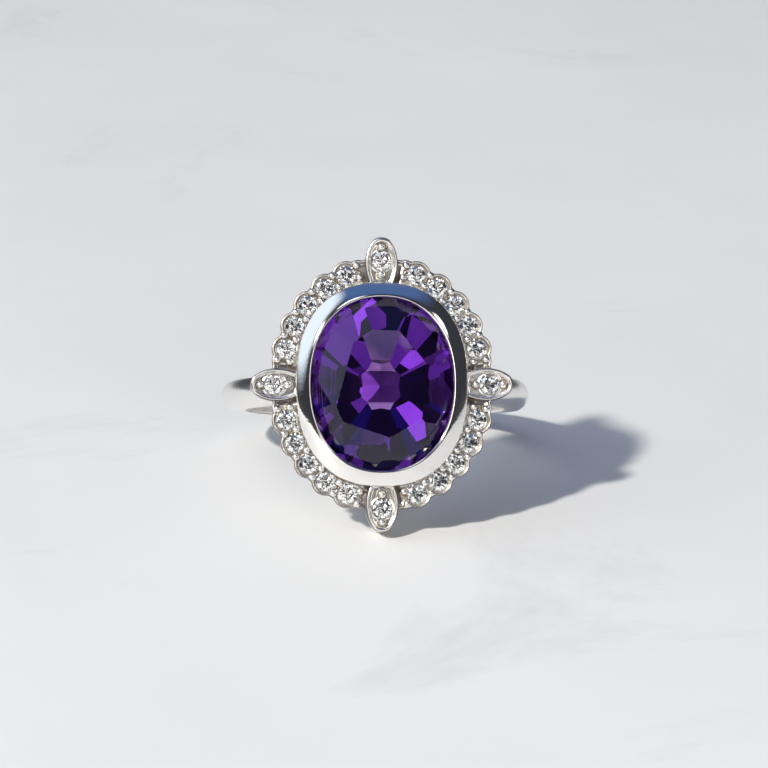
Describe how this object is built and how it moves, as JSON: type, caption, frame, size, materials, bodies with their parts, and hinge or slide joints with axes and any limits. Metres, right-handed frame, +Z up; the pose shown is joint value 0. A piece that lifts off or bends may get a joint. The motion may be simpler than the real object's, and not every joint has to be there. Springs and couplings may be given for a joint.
{
  "type": "cocktail ring",
  "caption": "Finger ring with a large oval bezel-set stone, a scalloped halo of small set stones, four leaf-shaped petals and a half-round band.",
  "frame": {"origin": "middle of the ring's footprint on the surface that it lies on: the bottom petal's tip and the back of the band touch z = 0", "axes": "+Z up from the table, +Y from the head towards the back of the band, +X across the band; the head faces -Y and leans back"},
  "size_m": [0.0196, 0.0246, 0.0175],
  "materials": {
    "white_gold": "polished, rhodium-plated white gold",
    "amethyst": "faceted and clear, deep violet",
    "diamond": "faceted and clear, colourless"
  },
  "bodies": {
    "root": {"band": "white_gold", "gallery_rail": "white_gold", "bezel_collet": "white_gold", "gallery_strut_top_right": "white_gold", "gallery_strut_bottom_right": "white_gold", "gallery_strut_bottom_left": "white_gold", "gallery_strut_top_left": "white_gold", "halo_top_right": "white_gold", "halo_bottom_right": "white_gold", "halo_bottom_left": "white_gold", "halo_top_left": "white_gold", "petal_top": "white_gold", "petal_right": "white_gold", "petal_bottom": "white_gold", "petal_left": "white_gold", "amethyst": "amethyst", "petal_diamond_top": "diamond", "petal_diamond_right": "diamond", "petal_diamond_bottom": "diamond", "petal_diamond_left": "diamond", "halo_diamond_top_right_1": "diamond", "halo_diamond_top_right_2": "diamond", "halo_diamond_top_right_3": "diamond", "halo_diamond_top_right_4": "diamond", "halo_diamond_top_right_5": "diamond", "halo_diamond_bottom_right_1": "diamond", "halo_diamond_bottom_right_2": "diamond", "halo_diamond_bottom_right_3": "diamond", "halo_diamond_bottom_right_4": "diamond", "halo_diamond_bottom_right_5": "diamond", "halo_diamond_bottom_left_1": "diamond", "halo_diamond_bottom_left_2": "diamond", "halo_diamond_bottom_left_3": "diamond", "halo_diamond_bottom_left_4": "diamond", "halo_diamond_bottom_left_5": "diamond", "halo_diamond_top_left_1": "diamond", "halo_diamond_top_left_2": "diamond", "halo_diamond_top_left_3": "diamond", "halo_diamond_top_left_4": "diamond", "halo_diamond_top_left_5": "diamond"}
  },
  "joints": []
}
